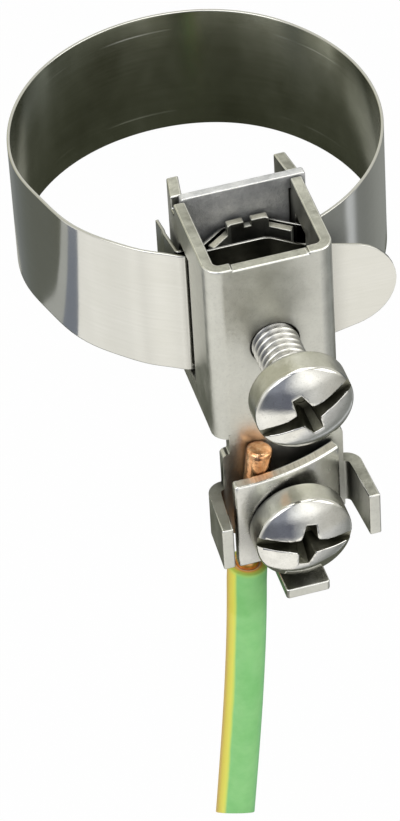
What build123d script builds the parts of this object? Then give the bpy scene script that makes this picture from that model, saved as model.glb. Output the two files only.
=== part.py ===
from build123d import *
import math
import os

# Earthing pipe clamp: a stainless band strap tightened round a pipe by a
# folded housing, with a screw terminal for an earth conductor.
# Millimetres. The pipe's axis is Z through the origin, half way up the strap.
# The housing stands in front of the pipe, towards the negative Y side.

# Strap: one band of thin sheet
loop_radius = 23.7
strap_gauge = 0.4
strap_width = 18.7
tail_reach = 18.25
tail_taper_start = 2.0
tail_taper = 14.4
hook_length = 6.5
hook_lean = 0.65
lay_gap = 0.05
loop_ease = 0.2015
entry_depth = 10.95
entry_inset = 0.6
corner_clear = 0.2
tail_end_inset = 0.15
tail_inset = 0.6
tail_wall_clear = 0.4
hook_inset = 0.8
hook_fold_clear = 0.55
bow_inset = 0.95
bow_wall_clear = 0.8
bow_clear = 0.3
front_bend = 2.0
back_bend = 1.5
entry_bend = 1.0
hook_bend = 0.45

# Housing: one stamping, folded
housing_gauge = 1.5
housing_width = 16.4
wall_depth = 15.3
prong_length = 3.9
prong_toe_in = 0.6
rim_above_strap = 5.3
rim_below_strap = 3.4
fold_radius = 0.7
rim_recess = 0.25
rim_recess_width = 9.6
slot_start = 8.4
slot_depth = 3.9
slot_margin = 0.8

# Back plate: flat cross piece whose ears lie in notches of the side walls
plate_gauge = 1.2
plate_start = 14.2
ear_depth = 1.8
ear_proud = 0.3
ear_short = 0.25
ear_round = 0.4
ear_shift = 0.8
fit_gap = 0.1

# Saddle: arched pressure piece between the two layers of strap
saddle_gauge = 1.0
saddle_flat = 5.0
saddle_side_gap = 0.487
saddle_fall = 2.18
saddle_short = 0.2
lug_rise = 1.4
lug_width = 2.2
lug_gap = 0.9
lug_root = 0.5
saddle_shift = 0.7

# Screws: M6 pan head with a slot and a cross recess, both alike
thread_radius = 3.0
tapped_clearance = 0.05
head_radius = 6.2
head_side = 3.4
head_dome = 1.8
head_edge = 0.5
driver_slot_width = 1.4
driver_slot_depth = 2.1
cross_length = 6.8
cross_width = 1.8
cross_depth = 3.0
cross_taper = 0.55
tip_chamfer = 0.6
tension_length = 19.15
tension_lift = 1.45
tension_slot_angle = 23.5
clamp_length = 12.0
clamp_slot_angle = -11.0
screw_touch = 0.05

# Terminal plate below the housing, with two wings and a bottom tongue
neck_inset = 1.7
neck_height = 2.45
terminal_shift = 0.35
terminal_width = 15.6
terminal_height = 13.3
terminal_round = 0.7
shoulder_slope = 0.5
clamp_drop = 9.0
wing_drop = 5.65
wing_height = 6.6
wing_step = 2.1
wing_root = 1.0
wing_length = 8.8
wing_splay = 2.5
tongue_width = 5.7
tongue_drop = 18.25
tongue_length = 10.5
tongue_round = 0.45

# Clamp washer: square, arched, lying over the conductor
washer_gauge = 1.6
washer_size = 13.6
washer_rise = 0.85
washer_left_gap = 0.75
washer_right_gap = 2.05
washer_crown = 0.95
washer_hole_gap = 0.3
washer_seat_gap = 0.05
washer_lay_gap = 0.2

# Conductor: solid copper core in a green and yellow sheath
core_radius = 1.5
sheath_radius = 2.55
sheath_bore_gap = 0.02
core_end_x = -3.05
core_end_drop = 1.0
bend_x = -5.45
bend_drop = 15.45
bend_radius = 20.0
sheath_drop = 17.65
cut_lean = 41.0
cut_roll = 17.0
cut_height = 3.6
wire_points = [(-5.9, -42.35), (-6.75, -54.35), (-7.9, -66.85), (-9.4, -81.5)]

# Places that follow from the sizes above
half_strap = strap_width / 2
band_mid = loop_radius - strap_gauge / 2
wall_x = housing_width / 2
inner_half = wall_x - housing_gauge
entry_x = wall_x - entry_inset
entry_y = -math.sqrt((band_mid + loop_ease) ** 2 - entry_x**2)
front_y = entry_y - entry_depth
slot_end = slot_start + slot_depth
rim_z = half_strap + rim_above_strap
floor_z = -half_strap - rim_below_strap
terminal_top = floor_z - neck_height
clamp_z = terminal_top - clamp_drop
plate_y = front_y + plate_start
back_layer_y = plate_y - strap_gauge / 2 - lay_gap
saddle_back_y = back_layer_y - strap_gauge / 2 - lay_gap
saddle_flat_half = saddle_flat / 2
saddle_reach = inner_half - saddle_side_gap - saddle_shift - saddle_flat_half
saddle_lean = math.atan2(saddle_fall, saddle_reach)
saddle_tip_y = saddle_back_y - saddle_fall - saddle_gauge * math.cos(saddle_lean)
front_layer_y = saddle_tip_y - lay_gap - strap_gauge / 2
wing_outer = terminal_width / 2 + wing_step
wing_inner = wing_outer - housing_gauge
washer_left = terminal_shift - wing_inner + washer_left_gap
washer_right = terminal_shift + wing_inner - washer_right_gap


def depth(value):
    """Y of a place that lies this far behind the housing's front face."""
    return front_y + value


def plan_prism(points, low, high):
    """Closed outline in plan, extruded between two heights."""
    face = make_face(Polyline(*points, close=True))
    return Pos(0, 0, low) * extrude(face, high - low)


def front_prism(points, start_y, end_y):
    """Closed outline seen from the front, in X and Z, given depth along Y."""
    outline = [(x, z) for x, z in points]
    face = make_face(Polyline(*outline, close=True))
    solid = extrude(face, end_y - start_y)
    return Pos(0, end_y, 0) * Rot(90, 0, 0) * solid


def fillet_upright(solid, corners, radius):
    """Round the upright edges of a solid that pass through the given plan points."""
    edges = [
        edge
        for edge in solid.edges().filter_by(Axis.Z)
        if any((edge.center() - Vector(x, y, edge.center().Z)).length < 0.01 for x, y in corners)
    ]
    return fillet(edges, radius)


def touch_angle(x, y, side):
    """Angle on the loop where a straight run from an outer point meets it."""
    reach = math.hypot(x, y)
    spread = math.acos(min(1.0, band_mid / reach))
    return math.degrees(math.atan2(y, x) + side * spread)


def loop_point(angle):
    turn = math.radians(angle)
    return (band_mid * math.cos(turn), band_mid * math.sin(turn))


def band(path):
    """Strap of full width that follows a line in plan."""
    return Pos(0, 0, -half_strap) * extrude(trace(path, strap_gauge), strap_width)


def make_strap():
    left_corner = (-wall_x - corner_clear, front_layer_y)
    right_corner = (entry_x, entry_y)
    left_touch = touch_angle(*left_corner, -1)
    right_touch = touch_angle(*right_corner, 1)
    front_run = FilletPolyline(
        (tail_reach, depth(slot_start + tail_end_inset)),
        (inner_half - tail_wall_clear, depth(slot_start + tail_inset)),
        (thread_radius, front_layer_y),
        left_corner,
        loop_point(left_touch),
        radius=[front_bend, front_bend, front_bend],
    )
    round_run = CenterArc((0, 0), band_mid, right_touch, left_touch + 360 - right_touch)
    bow = saddle_flat_half + bow_clear
    hook_x = -wall_x - hook_fold_clear
    hook_y = depth(slot_end - hook_inset)
    back_run = FilletPolyline(
        loop_point(right_touch),
        right_corner,
        (saddle_shift + bow, back_layer_y),
        (saddle_shift - bow, back_layer_y),
        (bow_wall_clear - inner_half, depth(slot_end - bow_inset)),
        (hook_x, hook_y),
        (hook_x - hook_lean, hook_y + hook_length),
        radius=[entry_bend, back_bend, back_bend, back_bend, hook_bend],
    )
    slope = math.radians(tail_taper)
    end_radius = (half_strap - (tail_reach - tail_taper_start) * math.tan(slope)) / (
        1 / math.cos(slope) - math.tan(slope)
    )
    end_x = tail_reach - end_radius
    touch_x = end_x + end_radius * math.sin(slope)
    touch_z = end_radius * math.cos(slope)
    far_left = -2 * loop_radius
    tail_outline = make_face(
        Polyline(
            (touch_x, touch_z),
            (tail_taper_start, half_strap),
            (far_left, half_strap),
            (far_left, -half_strap),
            (tail_taper_start, -half_strap),
            (touch_x, -touch_z),
        )
        + ThreePointArc((touch_x, -touch_z), (tail_reach, 0), (touch_x, touch_z))
    )
    tail_tool = Pos(0, loop_radius, 0) * Rot(90, 0, 0) * extrude(tail_outline, 3 * loop_radius)
    front_layer = band(front_run) & tail_tool
    return front_layer + band(Curve() + round_run) + band(back_run)


def make_box():
    """Front wall, two side walls and their toed-in prongs."""
    outer = wall_x
    inner = inner_half
    tip_outer = outer - prong_toe_in
    tip_inner = tip_outer - housing_gauge
    back_y = depth(wall_depth)
    tip_y = back_y + prong_length
    inside_y = depth(housing_gauge)
    right_side = [
        (outer, front_y),
        (outer, back_y),
        (tip_outer, tip_y),
        (tip_inner, tip_y),
        (inner, back_y),
        (inner, inside_y),
    ]
    left_side = [(-x, y) for x, y in reversed(right_side)]
    box = plan_prism(right_side + left_side, floor_z, rim_z)
    box = fillet_upright(box, [(-inner, inside_y), (inner, inside_y)], fold_radius)
    outer_corners = [(-outer, front_y), (outer, front_y)]
    return fillet_upright(box, outer_corners, fold_radius + housing_gauge)


def make_terminal():
    """Neck and flat terminal plate, in line with the front wall."""
    back_y = depth(housing_gauge)
    half = terminal_width / 2
    neck = wall_x - neck_inset
    tongue = tongue_width / 2
    low_z = terminal_top - terminal_height
    narrow_z = low_z - (half - tongue) * shoulder_slope
    bend_z = terminal_top - tongue_drop + fold_radius + housing_gauge
    sides = [
        [
            (side * neck, floor_z + fold_radius),
            (side * neck, terminal_top),
            (terminal_shift + side * half, terminal_top),
            (terminal_shift + side * half, low_z),
            (terminal_shift + side * tongue, narrow_z),
            (terminal_shift + side * tongue, bend_z),
        ]
        for side in (1, -1)
    ]
    plate = front_prism(sides[0] + sides[1][::-1], front_y, back_y)
    shoulders = [
        edge
        for edge in plate.edges().filter_by(Axis.Y)
        if abs(edge.center().Z - terminal_top) < 0.01 and abs(edge.center().X - terminal_shift) > half - 0.01
    ]
    return fillet(shoulders, terminal_round)


def make_wing(side):
    """Side wing: folded forward from the terminal plate, a little splayed."""
    outer = wing_outer
    inner = wing_inner
    root = terminal_width / 2 - wing_root
    back_y = depth(housing_gauge)
    tip_y = back_y - wing_length
    lean = wing_length * math.tan(math.radians(wing_splay))
    top_z = terminal_top - wing_drop
    points = [
        (side * root, back_y),
        (side * outer, back_y),
        (side * (outer + lean), tip_y),
        (side * (inner + lean), tip_y),
        (side * inner, front_y),
        (side * root, front_y),
    ]
    if side < 0:
        points.reverse()
    wing = plan_prism(points, top_z - wing_height, top_z)
    wing = fillet_upright(wing, [(side * outer, back_y)], fold_radius + housing_gauge)
    return Pos(terminal_shift, 0, 0) * fillet_upright(wing, [(side * inner, front_y)], fold_radius)


def make_tongue():
    """Bottom tongue: folded forward below the clamp screw's head."""
    low_z = terminal_top - tongue_drop
    top_z = low_z + housing_gauge
    back_y = depth(housing_gauge)
    tip_y = back_y - tongue_length
    bend_z = low_z + fold_radius + housing_gauge
    outer_fold = fold_radius + housing_gauge
    profile = make_face(
        Polyline((back_y, bend_z), (front_y, bend_z))
        + RadiusArc((front_y, bend_z), (front_y - fold_radius, top_z), fold_radius)
        + Polyline((front_y - fold_radius, top_z), (tip_y, top_z), (tip_y, low_z))
        + Line((tip_y, low_z), (back_y - outer_fold, low_z))
        + RadiusArc((back_y - outer_fold, low_z), (back_y, bend_z), -outer_fold)
    )
    tongue = extrude(profile, tongue_width / 2, both=True)
    tongue = Pos(terminal_shift, 0, 0) * Rot(0, 0, 90) * Rot(90, 0, 0) * tongue
    return fillet(tongue.edges().filter_by(Axis.Z).group_by(Axis.Y)[0], tongue_round)


def make_housing():
    body = make_box() + make_terminal() + make_wing(1) + make_wing(-1) + make_tongue()
    slot_height = strap_width + 2 * slot_margin
    slot = Box(housing_width * 2, slot_depth, slot_height)
    body -= Pos(0, depth(slot_start + slot_depth / 2), 0) * slot
    notch = Box(housing_width * 2, plate_gauge + fit_gap, ear_depth * 2)
    notch_y = plate_y + plate_gauge / 2
    body -= Pos(0, notch_y, rim_z) * notch
    body -= Pos(0, notch_y, floor_z) * notch
    recess = Box(rim_recess_width, housing_gauge * 2, rim_recess * 2)
    body -= Pos(0, front_y, rim_z) * recess
    bore = Cylinder(thread_radius + tapped_clearance, housing_gauge * 3)
    for x, height in ((0, tension_lift), (terminal_shift, clamp_z)):
        body -= Pos(x, front_y, height) * Rot(90, 0, 0) * bore
    return body


def make_back_plate():
    low_z = floor_z - ear_proud
    high_z = rim_z + ear_proud
    ear = wall_x - ear_short
    inner = inner_half - fit_gap
    upper = rim_z - ear_depth
    lower = floor_z + ear_depth
    right_side = [(ear, high_z), (ear, upper), (inner, upper), (inner, lower), (ear, lower), (ear, low_z)]
    left_side = [(-x, z) for x, z in reversed(right_side)]
    outline = [(x + ear_shift if abs(x) == ear else x, z) for x, z in right_side + left_side]
    plate = front_prism(outline, plate_y, plate_y + plate_gauge)
    levels = plate.edges().filter_by(Axis.Y).group_by(Axis.Z)
    return fillet(levels[0] + levels[-1], ear_round)


def make_saddle():
    end_x = saddle_gauge * math.sin(saddle_lean)
    end_y = saddle_gauge * math.cos(saddle_lean)
    inner_flat = saddle_flat_half - saddle_gauge * math.tan(saddle_lean / 2)
    tip_x = saddle_flat_half + saddle_reach
    right_side = [
        (saddle_flat_half, saddle_back_y),
        (tip_x, saddle_back_y - saddle_fall),
        (tip_x - end_x, saddle_back_y - saddle_fall - end_y),
        (inner_flat, saddle_back_y - saddle_gauge),
    ]
    left_side = [(-x, y) for x, y in reversed(right_side)]
    half = half_strap - saddle_short
    arch = plan_prism(right_side + left_side, -half - lug_rise, half + lug_rise)
    wide = Box(housing_width, wall_depth, lug_rise * 2)
    lugs = Box(lug_gap + lug_width * 2, wall_depth, lug_rise * 4)
    notch = Box(lug_gap, wall_depth, (lug_rise - lug_root) * 2)
    shoulders = wide - lugs + notch
    top_cut = Pos(0, saddle_back_y, half + lug_rise) * shoulders
    low_cut = Pos(0, saddle_back_y, -half - lug_rise) * shoulders
    return Pos(saddle_shift, 0, 0) * (arch - top_cut - low_cut)


def make_screw(length, slot_angle):
    """Pan head screw with its seat at the origin and its head towards -Y."""
    top = head_side + head_dome
    dome_radius = (head_radius**2 + head_dome**2) / (2 * head_dome)
    mid_x = head_radius / 2
    mid_z = top - dome_radius + math.sqrt(dome_radius**2 - mid_x**2)
    profile = Polyline((0, top), (0, 0), (head_radius, 0), (head_radius, head_side))
    profile += ThreePointArc((head_radius, head_side), (mid_x, mid_z), (0, top))
    head = revolve(Rot(90, 0, 0) * make_face(profile), Axis.Z)
    rim = [edge for edge in head.edges() if abs(edge.center().Z - head_side) < 0.01]
    head = fillet([edge for edge in rim if edge.length > head_radius * 5], head_edge)
    slot = Box(head_radius * 3, driver_slot_width, driver_slot_depth * 2)
    head -= Pos(0, 0, top) * slot
    arm = Box(cross_width, cross_length, cross_depth * 2)
    arm = chamfer(arm.edges().filter_by(Axis.X).sort_by(Axis.Z)[:2], cross_depth * cross_taper)
    head -= Pos(0, 0, top) * (arm + Rot(0, 0, 90) * arm)
    shank = Pos(0, 0, -length / 2) * Cylinder(thread_radius, length)
    shank = chamfer(shank.edges().sort_by(Axis.Z)[0], tip_chamfer)
    return Rot(90, 0, 0) * Rot(0, 0, slot_angle) * (head + shank)


def make_washer():
    """Arched square washer: one side on the conductor, the other on the plate."""
    left_y = front_y - core_radius * 2 - washer_lay_gap
    right_y = front_y - washer_seat_gap
    span_x = washer_right - washer_left
    rise_y = right_y - left_y
    span = math.hypot(span_x, rise_y)
    tilt = math.degrees(math.atan2(rise_y, span_x))
    half = span / 2
    arch_radius = (half**2 + washer_crown**2) / (2 * washer_crown)
    inner_arc = ThreePointArc((-half, 0), (0, -washer_crown), (half, 0))
    outer_radius = arch_radius + washer_gauge
    swing = math.asin(half / arch_radius)
    out_x = outer_radius * math.sin(swing)
    out_y = arch_radius - washer_crown - outer_radius * math.cos(swing)
    outer_arc = ThreePointArc((out_x, out_y), (0, -washer_crown - washer_gauge), (-out_x, out_y))
    outline = inner_arc + Line((half, 0), (out_x, out_y)) + outer_arc + Line((-out_x, out_y), (-half, 0))
    sheet = extrude(make_face(outline), washer_size / 2, both=True)
    middle = ((washer_left + washer_right) / 2, (left_y + right_y) / 2)
    sheet = Pos(middle[0], middle[1], clamp_z + washer_rise) * Rot(0, 0, tilt) * sheet
    bore = Cylinder(thread_radius + washer_hole_gap, washer_gauge * 10)
    return sheet - Pos(terminal_shift, front_y, clamp_z) * Rot(90, 0, 0) * bore


def wire_path():
    """Middle line of the conductor, from its end under the washer to the cut end."""
    wire_y = front_y - core_radius
    points = [
        (core_end_x, wire_y, floor_z - core_end_drop),
        (bend_x, wire_y, terminal_top - bend_drop),
    ]
    points += [(x, wire_y, z) for x, z in wire_points]
    radii = [bend_radius]
    for before, corner, after in zip(points[1:], points[2:], points[3:]):
        run_in = Vector(*corner) - Vector(*before)
        run_out = Vector(*after) - Vector(*corner)
        half_turn = math.radians(run_in.get_angle(run_out)) / 2
        radii.append(0.45 * min(run_in.length, run_out.length) / math.tan(half_turn))
    print("wire radii", [round(radius, 1) for radius in radii])
    return FilletPolyline(*points, radius=radii)


def make_rod(radius):
    """Round rod along the whole wire path."""
    start = Plane(origin=path @ 0, z_dir=path % 0)
    return sweep(start * Circle(radius), path=path)


strap = make_strap()
housing = make_housing()
back_plate = make_back_plate()
saddle = make_saddle()
washer = make_washer()

tension_seat = front_layer_y - strap_gauge / 2 - screw_touch - tension_length
tension_screw = Pos(0, tension_seat, tension_lift) * make_screw(tension_length, tension_slot_angle)
clamp_seat = washer.bounding_box().min.Y - screw_touch
clamp_screw = Pos(terminal_shift, clamp_seat, clamp_z) * make_screw(clamp_length, clamp_slot_angle)

path = wire_path()
sheath_top = terminal_top - sheath_drop
wire_drop = path.length
cut_point = Pos(path @ 1) * Pos(0, 0, cut_height)
slant = Rot(0, cut_roll, 0) * Rot(-cut_lean, 0, 0)
slant_cut = cut_point * slant * Pos(0, 0, -wire_drop / 2) * Box(wire_drop, wire_drop, wire_drop)
keep_below = Pos(0, front_y, sheath_top - wire_drop / 2) * Box(wire_drop, wire_drop, wire_drop)
core = make_rod(core_radius) - slant_cut
sheath = (make_rod(sheath_radius) & keep_below) - make_rod(core_radius + sheath_bore_gap) - slant_cut
print("wire length", round(path.length, 2), "sheath top", round(sheath_top, 2))

os.makedirs("parts", exist_ok=True)
nodes = {
    "housing": housing,
    "back_plate": back_plate,
    "strap": strap,
    "saddle": saddle,
    "tension_screw": tension_screw,
    "clamp_washer": washer,
    "clamp_screw": clamp_screw,
    "conductor_core": core,
    "conductor_sheath": sheath,
}
for name, shape in nodes.items():
    export_step(shape, f"parts/{name}.step")
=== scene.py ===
import bmesh
import bpy
import math
from mathutils import Matrix, Vector


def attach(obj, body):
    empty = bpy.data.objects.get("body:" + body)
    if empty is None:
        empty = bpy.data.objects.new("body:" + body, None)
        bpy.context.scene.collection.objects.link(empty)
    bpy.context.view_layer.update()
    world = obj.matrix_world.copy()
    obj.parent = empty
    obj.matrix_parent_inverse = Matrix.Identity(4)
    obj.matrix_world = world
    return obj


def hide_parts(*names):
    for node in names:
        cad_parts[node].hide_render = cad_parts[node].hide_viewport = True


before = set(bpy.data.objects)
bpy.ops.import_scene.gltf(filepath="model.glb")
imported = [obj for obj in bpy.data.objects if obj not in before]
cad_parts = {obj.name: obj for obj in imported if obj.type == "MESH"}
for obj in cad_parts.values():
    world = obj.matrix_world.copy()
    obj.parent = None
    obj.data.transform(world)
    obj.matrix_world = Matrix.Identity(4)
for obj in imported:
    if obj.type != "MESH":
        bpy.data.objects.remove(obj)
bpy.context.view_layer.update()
bpy.context.scene.view_settings.view_transform = "Standard"

# The clamp is looked at from the front, a little from the left and from well
# above, through a long lens, with the pipe's axis upright.
camera = bpy.data.objects.new("camera", bpy.data.cameras.new("camera"))
camera.data.sensor_fit = "HORIZONTAL"
camera.data.sensor_width = 36
camera.data.lens = 450
camera.data.clip_start = 0.01
camera_right = Vector((0.958349, -0.281688, -0.047107))
camera_up = Vector((0.224750, 0.642058, 0.732973))
camera_back = Vector((-0.176224, -0.713031, 0.678625))
camera_place = Vector((-0.11797, -0.47048, 0.40927))
camera.matrix_world = Matrix((
    (camera_right.x, camera_up.x, camera_back.x, camera_place.x),
    (camera_right.y, camera_up.y, camera_back.y, camera_place.y),
    (camera_right.z, camera_up.z, camera_back.z, camera_place.z),
    (0, 0, 0, 1),
))
bpy.context.scene.collection.objects.link(camera)
bpy.context.scene.camera = camera

MM = 0.001


# Conductor: a solid 3 mm copper core, sheared at its top end, in a sheath of
# soft green plastic with one yellow stripe. It stands under the square
# washer, held against the terminal plate, and its lower end is cut slantwise.
def shade(tree, kind, sockets=None, **settings):
    """One shader node, with its settings and what its sockets take."""
    made = tree.nodes.new("ShaderNode" + kind)
    for name, value in settings.items():
        setattr(made, name, value)
    for name, value in (sockets or {}).items():
        if isinstance(value, bpy.types.NodeSocket):
            tree.links.new(value, made.inputs[name])
        else:
            made.inputs[name].default_value = value
    return made


def tones(tree, amount, stops):
    """Colour that runs through the given stops as an amount goes from 0 to 1."""
    made = shade(tree, "ValToRGB", {"Fac": amount})
    strip = made.color_ramp
    while len(strip.elements) < len(stops):
        strip.elements.new(0.5)
    for element, (place, colour) in zip(strip.elements, stops):
        element.position = place
        element.color = (*colour, 1.0)
    return made.outputs["Color"]


def grey(value):
    return (value, value, value)


def spread(tree, amount, low, high, start=0.0, end=1.0):
    """An amount between start and end, stretched to run from low to high."""
    made = shade(tree, "MapRange", {"Value": amount, "From Min": start, "From Max": end,
                                    "To Min": low, "To Max": high})
    return made.outputs["Result"]


def mixed(tree, share, first, second, blend="MIX"):
    """Two colours laid over each other by a share from 0 to 1."""
    made = shade(tree, "Mix", data_type="RGBA", blend_type=blend)
    for socket, value in ((made.inputs[0], share), (made.inputs[6], first), (made.inputs[7], second)):
        if isinstance(value, bpy.types.NodeSocket):
            tree.links.new(value, socket)
        else:
            socket.default_value = (*value, 1.0) if isinstance(value, tuple) else value
    return made.outputs[2]


def blotches(tree, place, size, detail=3.0, rough=0.55):
    """Soft irregular blotches, this many millimetres across."""
    made = shade(tree, "TexNoise", {"Vector": place, "Scale": 1.0 / size, "Detail": detail,
                                    "Roughness": rough})
    return made.outputs["Fac"]


def stretched(tree, place, scale):
    """Places squeezed by a factor each way, so that blotches on them come out drawn."""
    return shade(tree, "Mapping", {"Vector": place, "Scale": scale}).outputs["Vector"]


def relief(tree, height, strength, depth, under=None):
    """Surface direction of a relief this many millimetres deep, on top of another if given."""
    sockets = {"Height": height, "Strength": strength, "Distance": depth * MM}
    if under is not None:
        sockets["Normal"] = under
    return shade(tree, "Bump", sockets).outputs["Normal"]


def reckoned(tree, operation, first, second=0.0):
    """Result of one sum on one or two amounts."""
    return shade(tree, "Math", {0: first, 1: second}, operation=operation).outputs["Value"]


def crevice_painted_shade(tree, tint, reach, least):
    """Painted shade: darken a colour in crevices this many millimetres deep, where little light reaches."""
    nearness = shade(tree, "AmbientOcclusion", {"Distance": reach * MM}, samples=8).outputs["AO"]
    return mixed(tree, spread(tree, nearness, 1.0, 0.0, 0.25, 0.85), tint, tuple(least))


def new_finish(name):
    """A material with its node tree, its shader and places in millimetres."""
    material = bpy.data.materials.new(name)
    material.use_nodes = True
    tree = material.node_tree
    surface = tree.nodes["Principled BSDF"]
    where = shade(tree, "TexCoord").outputs["Object"]
    scaled = shade(tree, "VectorMath", {0: where, 1: (1 / MM, 1 / MM, 1 / MM)}, operation="MULTIPLY")
    return material, tree, surface, scaled.outputs["Vector"]


def skin(name, rings, along, ends=True):
    """Mesh over a row of closed rings, with a map of turn and of length in millimetres."""
    count = len(rings[0])
    mesh = bpy.data.meshes.new(name)
    faces, places = [], []
    for i in range(len(rings) - 1):
        for j in range(count):
            k = (j + 1) % count
            faces.append((i * count + j, i * count + k, (i + 1) * count + k, (i + 1) * count + j))
            for row, column in ((i, j), (i, j + 1), (i + 1, j + 1), (i + 1, j)):
                places.append((column / count, along[row]))
    if ends:
        faces.append(tuple(range(count - 1, -1, -1)))
        faces.append(tuple(range((len(rings) - 1) * count, len(rings) * count)))
        places += [(0.5, along[0])] * count + [(0.5, along[-1])] * count
    mesh.from_pydata([point for ring in rings for point in ring], [], faces)
    layer = mesh.uv_layers.new(name="run")
    for corner, place in zip(layer.data, places):
        corner.uv = place
    piece = bpy.data.objects.new(name, mesh)
    bpy.context.scene.collection.objects.link(piece)
    return piece


def smooth(piece, angle=35.0):
    """Shade a piece smooth, with creases where it turns by more than an angle."""
    mesh = piece.data
    solid = bmesh.new()
    solid.from_mesh(mesh)
    bmesh.ops.recalc_face_normals(solid, faces=solid.faces)
    solid.to_mesh(mesh)
    solid.free()
    mesh.shade_smooth()
    mesh.set_sharp_from_angle(angle=math.radians(angle))


wire_y = -34.9
wire_route = [
    (-3.05, wire_y, -13.75),
    (-5.45, wire_y, -30.65),
    (-5.9, wire_y, -42.35),
    (-6.75, wire_y, -54.35),
    (-7.9, wire_y, -66.85),
    (-9.4, wire_y, -81.5),
]
wire_line = bpy.data.curves.new("wire_line", "CURVE")
wire_line.dimensions = "3D"
wire_line.resolution_u = 24
wire_spline = wire_line.splines.new("NURBS")
wire_spline.points.add(len(wire_route) - 1)
for control, (x, y, z) in zip(wire_spline.points, wire_route):
    control.co = (x * MM, y * MM, z * MM, 1.0)
wire_spline.order_u = 3
wire_spline.use_endpoint_u = True
wire_guide = bpy.data.objects.new("wire_guide", wire_line)
wire_mesh = bpy.data.meshes.new_from_object(wire_guide)
wire_points = [vertex.co.copy() for vertex in wire_mesh.vertices]
bpy.data.objects.remove(wire_guide)
bpy.data.meshes.remove(wire_mesh)

core_radius = 1.5 * MM
sheath_radius = 2.55 * MM
sheath_bore = 1.52 * MM
sheath_top = -32.85 * MM
wire_steps = 48
cut_spot = Vector((-9.04, wire_y, -78.01)) * MM
cut_way = Vector((0.221, 0.656, 0.722)).normalized()
cut_height = 2.9 * MM
wire_points = [point for point in wire_points if point.z > cut_spot.z + cut_height]


def onto_cut(ring, ahead, back):
    """Slide a ring along the wire until it lies on the slanting cut, or a little back from it."""
    return [spot + ahead * ((cut_spot - spot).dot(cut_way) / ahead.dot(cut_way) - back) for spot in ring]


def wire_lengths(points):
    """Length run at each point of a line."""
    run = [0.0]
    for before, after in zip(points, points[1:]):
        run.append(run[-1] + (after - before).length)
    return run


def wire_ring(centre, ahead, radius):
    """A round ring across the wire, its turn counted from +X, seen from above."""
    side = Vector((0, 1, 0)).cross(ahead).normalized()
    ring = []
    for j in range(wire_steps):
        turn = 2 * math.pi * j / wire_steps
        arm = side * -math.cos(turn) + Vector((0, 1, 0)) * math.sin(turn)
        ring.append(centre + arm * radius)
    return ring


core_start = wire_points[0]
core_down = (wire_points[1] - wire_points[0]).normalized()
shear_rounding = [(0.0, 0.6), (0.04, 1.12), (0.16, 1.46), (0.4, 1.64),
                  (0.9, 1.69), (2.2, 1.66), (4.6, 1.6), (7.0, 1.52)]
sheared_length = 7.6 * MM
core_points = [core_start + core_down * (drop * MM) for drop, radius in shear_rounding]
core_radii = [radius * MM for drop, radius in shear_rounding]
rest_of_core = [point for point in wire_points if (point - core_start).length > sheared_length]
core_points += rest_of_core
core_radii += [core_radius] * len(rest_of_core)
core_rings = []
for i, (centre, radius) in enumerate(zip(core_points, core_radii)):
    ahead = core_points[min(i + 1, len(core_points) - 1)] - core_points[max(i - 1, 0)]
    core_rings.append(wire_ring(centre, ahead.normalized(), radius))
end_way = (wire_points[-1] - wire_points[-2]).normalized()
core_rings.append(onto_cut(core_rings[-1], end_way, 0.0))
core_run = wire_lengths(core_points + [cut_spot])
copper_core = skin("copper_core", core_rings, [run / MM for run in core_run])
smooth(copper_core, 50)

copper, tree, surface, place = new_finish("bare_copper")
streaks = blotches(tree, stretched(tree, place, (2.2, 2.2, 0.12)), 1.0, 4.0)
tarnish = blotches(tree, place, 1.6, 4.0, 0.65)
tint = tones(tree, streaks, [(0.3, (0.66, 0.3, 0.13)), (0.55, (0.9, 0.49, 0.25)),
                             (0.75, (0.98, 0.69, 0.43))])
tint = mixed(tree, spread(tree, tarnish, 0.0, 0.6, 0.45, 0.7), tint, (0.4, 0.16, 0.05))
tree.links.new(tint, surface.inputs["Base Color"])
tree.links.new(spread(tree, streaks, 0.11, 0.25), surface.inputs["Roughness"])
surface.inputs["Metallic"].default_value = 1.0
tree.links.new(relief(tree, tarnish, 0.6, 0.16), surface.inputs["Normal"])
copper_core.data.materials.append(copper)
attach(copper_core, "frame")
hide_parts("conductor_core")

# the sheath's line starts at its upper end, and leaves out points too near to it
nearest_point = 0.2 * MM
sheath_line = []
for before, after in zip(wire_points, wire_points[1:]):
    if before.z > sheath_top >= after.z:
        share = (before.z - sheath_top) / (before.z - after.z)
        sheath_line.append(before.lerp(after, share))
    if after.z < sheath_top - nearest_point:
        sheath_line.append(after)
sheath_start = sheath_line[0].copy()
start_way = (sheath_line[1] - sheath_line[0]).normalized()
edge_break = 0.06 * MM
top_cut = [(0.06, sheath_bore), (0.0, sheath_bore + edge_break), (0.0, sheath_radius - 0.22 * MM),
           (0.07, sheath_radius - edge_break), (0.22, sheath_radius)]
low_cut = [(0.1, sheath_radius), (0.0, sheath_radius - edge_break),
           (0.0, sheath_bore + edge_break), (0.06, sheath_bore)]
top_cut_length = 0.4 * MM
inside = sheath_line[1:-1]
tube_points = [sheath_start + start_way * (drop * MM) for drop, radius in top_cut]
tube_radii = [radius for drop, radius in top_cut]
tube_points += [point for point in inside if (point - sheath_start).length > top_cut_length]
tube_radii += [sheath_radius] * (len(tube_points) - len(tube_radii))
slanted = {len(tube_points) + i: drop * MM for i, (drop, radius) in enumerate(low_cut)}
tube_points += [sheath_line[-1]] * len(low_cut)
tube_radii += [radius for drop, radius in low_cut]
tube_points += inside[::-1]
tube_radii += [sheath_bore] * len(inside)
tube_rings = []
tube_along = []
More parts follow.
